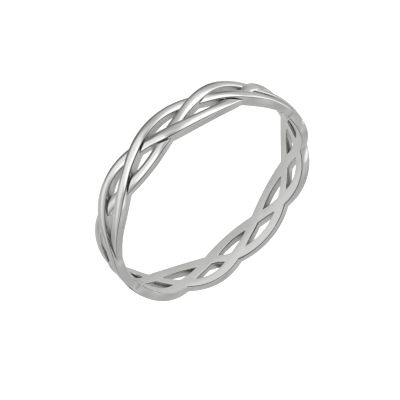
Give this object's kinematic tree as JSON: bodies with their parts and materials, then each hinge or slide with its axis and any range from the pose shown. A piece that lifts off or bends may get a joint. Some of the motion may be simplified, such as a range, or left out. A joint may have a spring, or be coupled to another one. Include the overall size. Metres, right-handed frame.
{
  "type": "knot ring",
  "caption": "Slim open finger ring: a rounded strand weaves over and under itself in a continuous braid between two wavy rims, with leaf-shaped gaps and a smooth bore.",
  "frame": {"origin": "on the finger's axis, in the plane that the lower bumps rest on", "axes": "+Z along the finger's axis, up from the surface that the ring lies on; +X through crossing 0 of the upper row"},
  "size_m": [0.019, 0.019, 0.0031],
  "materials": {
    "polished_silver": "polished"
  },
  "bodies": {
    "root": {"knot_band": "polished_silver"}
  },
  "joints": []
}
